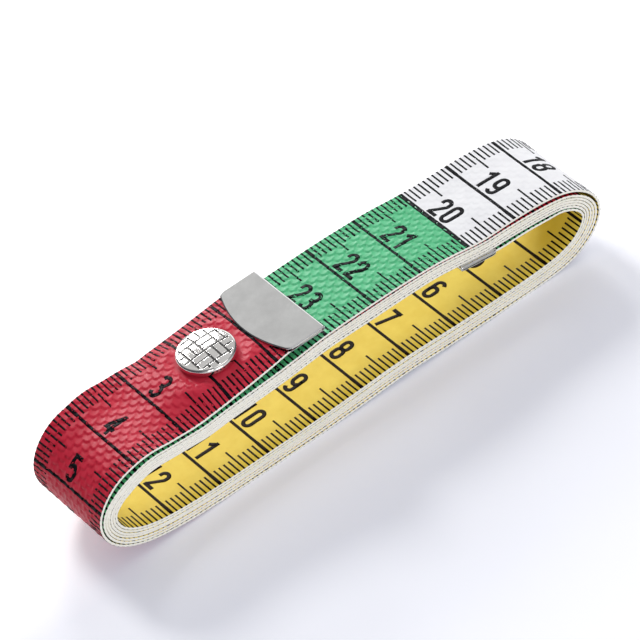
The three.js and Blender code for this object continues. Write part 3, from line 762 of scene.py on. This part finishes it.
def print_scale(ink, first, last, fine_front, fine_back):
    """Marks on both faces from one length to another; hidden ones only at the edges."""
    for s in range(first, last):
        for front in (True, False):
            fine = fine_front if front else fine_back
            hidden = front and SECOND_TURN_TO < s < INNER_PRINT_FROM
            between = not front and OUTER_TURN_LENGTH < s < INNER_PRINT_FROM
            end = HIDDEN_END if hidden else EDGE_ROUND * (0.0 if between else END_SHARE)
            wide = TICK_WIDE * (FAINT_TICK if between or hidden else 1.0)
            if s % 10 == 0 and fine:
                ink.line(front, s, front)
            elif s % 10 == 0:
                ink.tick(front, s, EDGE_TICK, LINE_END_WIDE, False, end)
            else:
                long = (FIVE_TICK if s % 5 == 0 else MM_TICK) if fine else EDGE_TICK
                ink.tick(front, s, long, wide, front and fine, end)


flap_ink, coil_ink = Ink(), Ink()
print_scale(flap_ink, 1, int(SEAM), True, True)
print_scale(coil_ink, int(SEAM), int(PRINTED_TO), True, False)
print_scale(coil_ink, int(PRINTED_TO), int(INNER_PRINT_FROM), False, False)
print_scale(coil_ink, int(INNER_PRINT_FROM), int(TAPE_LENGTH) - 1, False, True)
for ink, front, numbers in (
    (flap_ink, True, range(1, 6)), (coil_ink, True, range(6, 28)),
    (coil_ink, False, range(1, 24)), (flap_ink, False, range(146, 150)),
):
    for value in numbers:
        ink.number(front, value)
flap_print = flap_ink.build("print_free_end", True, ink_front)
flap_back_print = flap_ink.build("print_free_end_back", False, ink_back)
coil_print = coil_ink.build("print_coil", True, ink_front)
coil_back_print = coil_ink.build("print_coil_back", False, ink_back)

for node, finish in (
    ("cap_post", bright_nickel), ("snap_socket", bright_nickel), ("socket_spring", spring_steel),
    ("snap_stud", bright_nickel), ("stud_eyelet", bright_nickel),
):
    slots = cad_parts[node].data.materials
    slots.clear()
    slots.append(finish)

# End clips: a folded sheet with a bowed rear edge
CLIP_OUTSIDE, CLIP_INSIDE, CLIP_HALF = 0.485, 0.235, 9.8
CLIP_SIDE, CLIP_BOW, CLIP_CORNER = 7.6, 2.1, 0.9
CLIP_BEVEL = 0.14
CLIP_CORNER_FROM, CLIP_CORNER_COLUMNS, CLIP_COLUMNS = 9.0, 14, 28
CLIP_REAR_ROWS, CLIP_LEG_FROM, CLIP_LEG_ROWS, CLIP_FOLD_ROWS = (0.0, 0.01, 0.03), 0.06, 16, 17
CLIP_CREASE, CAP_CREASE = 30.0, 50.0


def clip_rear(y):
    """How far back the clip reaches at y across it, with rounded rear corners."""
    across = np.abs(y)
    join = CLIP_HALF - CLIP_CORNER
    side = CLIP_SIDE + CLIP_BOW / 6.0
    bowed = side + (CLIP_BOW - CLIP_BOW / 12.0) * (1.0 - (across / join) ** 2)
    t = 1.0 - np.sqrt(np.clip(1.0 - (across - join) / CLIP_CORNER, 0.0, 1.0))
    corner = side * (1 - t) ** 2 + CLIP_SIDE * 2 * t * (1 - t) + (CLIP_SIDE - CLIP_CORNER) * t**2
    return np.where(across <= join, bowed, corner)


def end_clip(name, front, back):
    """A clip in its place: rows from the rear of its upper leg round the fold and back below."""
    corner = np.linspace(CLIP_CORNER_FROM, CLIP_HALF, CLIP_CORNER_COLUMNS)
    across = np.concatenate([np.linspace(0.0, CLIP_HALF - CLIP_CORNER, CLIP_COLUMNS), corner])
    across = np.concatenate([-across[:0:-1], across])
    leg = np.concatenate([CLIP_REAR_ROWS, np.linspace(CLIP_LEG_FROM, 1.0, CLIP_LEG_ROWS)])
    fold = np.linspace(0.0, math.pi, CLIP_FOLD_ROWS)
    layers = []
    for out, inset in ((CLIP_OUTSIDE, CLIP_BEVEL), (CLIP_OUTSIDE - CLIP_BEVEL, 0.0), (CLIP_INSIDE, 0.0)):
        y = across * (CLIP_HALF - inset) / CLIP_HALF
        rear = clip_rear(across) - inset
        upper_x = rear[None, :] + (CLIP_OUTSIDE - rear[None, :]) * leg[:, None]
        nose_x = np.repeat((CLIP_OUTSIDE - out * np.sin(fold[1:-1]))[:, None], len(y), 1)
        nose_z = np.repeat((out * np.cos(fold[1:-1]))[:, None], len(y), 1)
        x = np.vstack([upper_x, nose_x, upper_x[::-1]])
        z = np.vstack([np.full_like(upper_x, out), nose_z, np.full_like(upper_x, -out)])
        layers.append(np.stack([x, np.broadcast_to(y, x.shape), z], -1))
    rows, columns = layers[0].shape[:2]
    index = np.arange(3 * rows * columns).reshape(3, rows, columns)
    quads = [grid_quads(index[0]), grid_quads(index[2])]
    for a, b in ((index[0], index[1]), (index[1], index[2])):
        for u, v in ((a[0], b[0]), (a[-1], b[-1]), (a[:, 0], b[:, 0]), (a[:, -1], b[:, -1])):
            quads.append(np.stack([u[:-1], u[1:], v[1:], v[:-1]], -1))
    local = np.stack(layers).reshape(-1, 3)
    rise = np.array([-back[1], back[0]]) * math.copysign(1.0, back[0])
    world = np.empty_like(local)
    world[:, 0] = front[0] + local[:, 0] * back[0] + local[:, 2] * rise[0]
    world[:, 1] = local[:, 1]
    world[:, 2] = front[1] + local[:, 0] * back[1] + local[:, 2] * rise[1]
    return mesh_object(name, world * MM, np.concatenate(quads), [satin_nickel])


def sharp_edges(thing, degrees):
    """Edges steeper than the angle keep their crease; other faces shade smoothly."""
    shape = bmesh.new()
    shape.from_mesh(thing.data)
    limit = math.radians(degrees)
    for line in shape.edges:
        if len(line.link_faces) == 2 and line.calc_face_angle(0.0) > limit:
            line.smooth = False
    shape.to_mesh(thing.data)
    shape.free()


outer_clip = end_clip("outer_clip", OUTER_CLIP_FRONT, OUTER_CLIP_BACK)
inner_clip = end_clip("inner_clip", INNER_CLIP_FRONT, INNER_CLIP_BACK)
for piece in (outer_clip, inner_clip):
    sharp_edges(piece, CLIP_CREASE)
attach(outer_clip, "flap")
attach(inner_clip, "coil")
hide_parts("outer_end_clip")
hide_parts("inner_end_clip")

# Cap of the press stud: a domed shell with a rolled rim and a basket-weave relief pressed into its top, its
# grooves painted dark as shade
CAP_RADIUS, CAP_HIGH, CAP_DOME, CAP_ROUND, CAP_RIM, CAP_SHEET = 5.2, 1.85, 0.35, 0.5, 1.6, 0.25
CAP_STEEP, CAP_TOP_INSET, CAP_INSIDE_RINGS = 0.4 * math.pi, 0.2, (3.4, 2.2, 1.0, 0.4)
CAP_CELLS, CAP_ROUND_RINGS, CAP_INNER_RINGS, CAP_INNER_STEP = 150, 8, 5, (0.1, 0.05)
WEAVE_CELL, WEAVE_BARS, WEAVE_DEEP, WEAVE_FADE, WEAVE_AT = 2.9, 2, 0.17, 0.25, (0.5, 0.4)
GROOVE_HALF, GROOVE_SLOPE, HATCH_PITCH, HATCH_SHARE = 0.06, 0.16, 0.42, 0.14


def crown_at(from_fold):
    """Point and normal on the crown of the part's solids, by length from the fold line."""
    angle = math.asin((FOLD[0] - CROWN_X) / CROWN_RADIUS) + from_fold / CROWN_RADIUS
    normal = np.array([math.sin(angle), math.cos(angle)])
    return np.array([CROWN_X, CROWN_Z]) + normal * CROWN_RADIUS, normal


def snap_axis():
    """Foot and direction of the press stud's axis, which stands on the second turn."""
    middle = FLAP_LENGTH - SNAP_FROM_ZERO
    feet = []
    for at in (middle - SNAP_FLAT, middle + SNAP_FLAT):
        point, normal = crown_at(at)
        feet.append(point - normal * CAD_PITCH)
    return (feet[0] + feet[1]) / 2.0, crown_at(middle)[1]


def basket(x, y):
    """Relief of a basket weave: square cells of parallel bars that lie along and across in turn."""
    i, j = np.floor(x / WEAVE_CELL), np.floor(y / WEAVE_CELL)
    u, v = x / WEAVE_CELL - i, y / WEAVE_CELL - j
    turned = (i + j) % 2 == 0
    along, over = np.where(turned, u, v), np.where(turned, v, u)
    bar = over * WEAVE_BARS - np.floor(over * WEAVE_BARS)
    wide = WEAVE_CELL / WEAVE_BARS
    side = ramped(np.minimum(bar, 1.0 - bar) * wide, GROOVE_HALF, GROOVE_SLOPE)
    end = ramped(np.minimum(along, 1.0 - along) * WEAVE_CELL, GROOVE_HALF, GROOVE_SLOPE)
    hatch = 0.5 + 0.5 * np.sin(2.0 * math.pi * (x + y) / HATCH_PITCH)
    return side * end * (1.0 - HATCH_SHARE + HATCH_SHARE * hatch)


def cap_shell(cells):
    """The cap in its place: a grid bent on to the round top, then rings down the rim and up inside."""
    shoulder = CAP_HIGH - CAP_DOME - CAP_ROUND

    def rounded(angle, radius, high):
        return CAP_RADIUS - CAP_ROUND + radius * math.cos(angle), high + radius * math.sin(angle)

    edge_r, edge_h = rounded(CAP_STEEP, CAP_ROUND, shoulder)

    def dome(r):
        return edge_h + (CAP_HIGH - edge_h) * (1.0 - (r / edge_r) ** 2)

    top_r = edge_r - CAP_TOP_INSET
    even = np.linspace(-1.0, 1.0, cells + 1)
    a, b = np.meshgrid(even, even, indexing="ij")
    wide = np.abs(a) >= np.abs(b)
    with np.errstate(divide="ignore", invalid="ignore"):
        turn = np.where(wide, math.pi / 4.0 * b / a, math.pi / 2.0 - math.pi / 4.0 * a / b)
    turn = np.nan_to_num(turn)
    radius = np.where(wide, a, b) * top_r
    x, y = radius * np.cos(turn), radius * np.sin(turn)
    r = np.hypot(x, y)
    woven = basket(x + WEAVE_AT[0], y + WEAVE_AT[1]) - 1.0
    relief = WEAVE_DEEP * woven * within(r, top_r, WEAVE_FADE)
    points = [np.stack([x, y, dome(r) + relief], -1).reshape(-1, 3)]
    grid = np.arange((cells + 1) ** 2).reshape(cells + 1, cells + 1)
    quads = [grid_quads(grid)]
    rim = np.concatenate([grid[:-1, 0], grid[-1, :-1], grid[:0:-1, -1], grid[0, :0:-1]])
    ring_turn = np.arctan2(points[0][rim, 1], points[0][rim, 0])
    under = -0.5 * math.pi
    line = [rounded(turned, CAP_ROUND, shoulder) for turned in np.linspace(CAP_STEEP, 0.0, CAP_ROUND_RINGS)]
    line += [rounded(turned, CAP_ROUND, CAP_ROUND) for turned in np.linspace(0.0, under, CAP_ROUND_RINGS)]
    line += [(CAP_RADIUS - CAP_RIM, 0.0), (CAP_RADIUS - CAP_RIM, CAP_SHEET)]
    inside = CAP_ROUND - CAP_SHEET
    line += [rounded(turned, inside, CAP_ROUND) for turned in np.linspace(under, 0.0, CAP_INNER_RINGS)]
    line.append((CAP_RADIUS - CAP_SHEET, shoulder))
    line.append((edge_r - CAP_INNER_STEP[0], edge_h - CAP_SHEET - CAP_INNER_STEP[1]))
    line += [(r_inside, dome(r_inside) - CAP_SHEET - WEAVE_DEEP) for r_inside in CAP_INSIDE_RINGS]
    previous = rim
    count = len(points[0])
    for r_ring, h_ring in line:
        ring = np.arange(len(rim)) + count
        height = np.full(len(rim), h_ring)
        points.append(np.stack([r_ring * np.cos(ring_turn), r_ring * np.sin(ring_turn), height], -1))
        quads.append(np.stack([previous, np.roll(previous, -1), np.roll(ring, -1), ring], -1))
        previous = ring
        count += len(rim)
    local = np.concatenate(points)
    foot, up = snap_axis()
    out = local[:, 2] + SNAP_SEAT - SNAP_SINK
    world = np.empty_like(local)
    world[:, 0] = foot[0] + local[:, 0] * up[1] + out * up[0]
    world[:, 1] = local[:, 1]
    world[:, 2] = foot[1] - local[:, 0] * up[0] + out * up[1]
    # Faces deep in the weave's grooves take the dark nickel: painted shade in the grooves
    deep = (relief[:-1, :-1] + relief[1:, 1:]).reshape(-1) / 2.0 < -0.5 * WEAVE_DEEP
    faces = np.concatenate(quads)
    finish = [bright_nickel, groove_painted_shade]
    return mesh_object("cap", world * MM, faces, finish, deep.astype(int), [previous[::-1].tolist()])


cap = cap_shell(CAP_CELLS)
sharp_edges(cap, CAP_CREASE)
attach(cap, "flap")
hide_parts("snap_cap")

# The free end's pieces keep their place as built; everything wound stays with the coil
for piece in (flap, flap_print, flap_back_print):
    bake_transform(piece)
for piece in (outer_turn, inner_turns, coil_print, coil_back_print):
    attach(piece, "coil")
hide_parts("tape_flap")
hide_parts("tape_coil")
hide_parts("tape_coil")

# Floor, light and camera
FLOOR_REACH = 3.0
# Floor depths in metres over which its glow, with its painted shade, changes
GLOW_NEAR, GLOW_FAR = -0.10, 0.012
floor_mesh = bpy.data.meshes.new("floor")
corners = [(x * FLOOR_REACH, y * FLOOR_REACH, 0.0) for x, y in ((-1, -1), (1, -1), (1, 1), (-1, 1))]
floor_mesh.from_pydata(corners, [], [(0, 1, 2, 3)])
floor = bpy.data.objects.new("floor", floor_mesh)
bpy.context.scene.collection.objects.link(floor)
floor_material, floor_tree, floor_shader = new_material("floor_white")
floor_shader.inputs["Base Color"].default_value = (0.88, 0.88, 0.89, 1.0)
floor_shader.inputs["Roughness"].default_value = 0.9
floor_shader.inputs["Specular IOR Level"].default_value = 0.0
floor_mesh.materials.append(floor_material)


def seen_by_eye(tree):
    """One for rays from the camera, or by way of a mirror or glass."""
    rays = tree.nodes.new("ShaderNodeLightPath")
    total = rays.outputs["Is Camera Ray"]
    for name in ("Is Glossy Ray", "Is Transmission Ray"):
        add = tree.nodes.new("ShaderNodeMath")
        add.operation = "MAXIMUM"
        tree.links.new(total, add.inputs[0])
        tree.links.new(rays.outputs[name], add.inputs[1])
        total = add.outputs[0]
    return total


glow = floor_tree.nodes.new("ShaderNodeEmission")
where = floor_tree.nodes.new("ShaderNodeTexCoord")
place_parts = floor_tree.nodes.new("ShaderNodeSeparateXYZ")
floor_tree.links.new(where.outputs["Object"], place_parts.inputs["Vector"])
depth_share = floor_tree.nodes.new("ShaderNodeMapRange")
depth_share.inputs["From Min"].default_value = GLOW_NEAR
depth_share.inputs["From Max"].default_value = GLOW_FAR
floor_tree.links.new(place_parts.outputs["Y"], depth_share.inputs["Value"])
# Painted shade and light: the floor's glow for the eye is dimmer and bluish in the band in front of the coil
# where its shadow falls, brighter farther out in front, and much brighter behind it, which hides the shadow
# there
floor_glow_painted_shade = ramp(floor_tree, depth_share.outputs["Result"], (
    (0.0, (0.22, 0.22, 0.24, 1.0)), (0.40, (0.12, 0.13, 0.19, 1.0)),
    (0.78, (0.11, 0.12, 0.18, 1.0)), (1.0, (0.5, 0.5, 0.5, 1.0)),
))
floor_tree.links.new(floor_glow_painted_shade, glow.inputs["Color"])
floor_tree.links.new(seen_by_eye(floor_tree), glow.inputs["Strength"])
both = floor_tree.nodes.new("ShaderNodeAddShader")
floor_tree.links.new(floor_shader.outputs["BSDF"], both.inputs[0])
floor_tree.links.new(glow.outputs["Emission"], both.inputs[1])
floor_tree.links.new(both.outputs["Shader"], floor_tree.nodes["Material Output"].inputs["Surface"])

world = bpy.data.worlds.new("studio")
bpy.context.scene.world = world
world.use_nodes = True
sky = world.node_tree.nodes["Background"]


def sky_panel(toward, stops):
    """Light of the sky by how near a direction is to the panel's own."""
    tree = world.node_tree
    direction = tree.nodes.new("ShaderNodeTexCoord")
    dot = tree.nodes.new("ShaderNodeVectorMath")
    dot.operation = "DOT_PRODUCT"
    dot.inputs[1].default_value = toward
    tree.links.new(direction.outputs["Generated"], dot.inputs[0])
    return ramp(tree, dot.outputs["Value"], stops)


back_panel = sky_panel((0.34, 0.65, 0.69), (
    (0.0, (0.10, 0.105, 0.12, 1.0)), (0.7, (0.13, 0.13, 0.14, 1.0)),
    (0.88, (0.66, 0.66, 0.67, 1.0)), (1.0, (0.72, 0.72, 0.72, 1.0)),
))
front_panel = sky_panel((0.15, -0.94, 0.30), ((0.35, (0.0, 0.0, 0.0, 1.0)), (0.85, (0.60, 0.60, 0.60, 1.0))))
side_panel = sky_panel((0.75, 0.64, 0.17), ((0.93, (0.0, 0.0, 0.0, 1.0)), (0.98, (1.2, 1.2, 1.2, 1.0))))
light = back_panel
for panel in (front_panel, side_panel):
    added = world.node_tree.nodes.new("ShaderNodeMix")
    added.data_type = "RGBA"
    added.blend_type = "ADD"
    added.inputs["Factor"].default_value = 1.0
    world.node_tree.links.new(light, added.inputs[6])
    world.node_tree.links.new(panel, added.inputs[7])
    light = added.outputs[2]
world.node_tree.links.new(light, sky.inputs["Color"])
sky.inputs["Strength"].default_value = 1.0


def area_lamp(name, where, size, power):
    """A round lamp that faces the object, its place and size in metres and its power in watts."""
    lamp = bpy.data.lights.new(name, "AREA")
    lamp.shape = "DISK"
    lamp.size = size
    lamp.energy = power
    thing = bpy.data.objects.new(name, lamp)
    thing.location = where
    thing.rotation_euler = (-Vector(where)).to_track_quat("-Z", "Y").to_euler()
    bpy.context.scene.collection.objects.link(thing)


area_lamp("key", (0.08, 0.80, 0.60), 0.26, 4.9)
area_lamp("low_key", (0.40, 0.84, 0.36), 0.22, 3.0)
area_lamp("over", (0.25, -0.04, 0.97), 0.45, 0.85)
area_lamp("fill", (-0.42, -0.70, 0.55), 0.3, 0.9)
area_lamp("low_fill", (0.0, -1.1, 0.20), 0.5, 2.2)

camera = bpy.data.cameras.new("camera")
camera.lens = 283.369
camera.sensor_width = 36.0
camera.clip_end = 20.0
eye = bpy.data.objects.new("camera", camera)
eye.location = Vector((-286.653, -548.926, 581.695)) * MM
eye.rotation_euler = [math.radians(a) for a in (46.53682, 10.44755, -37.25772)]
bpy.context.scene.collection.objects.link(eye)
bpy.context.scene.camera = eye
bpy.context.scene.view_settings.view_transform = "Standard"
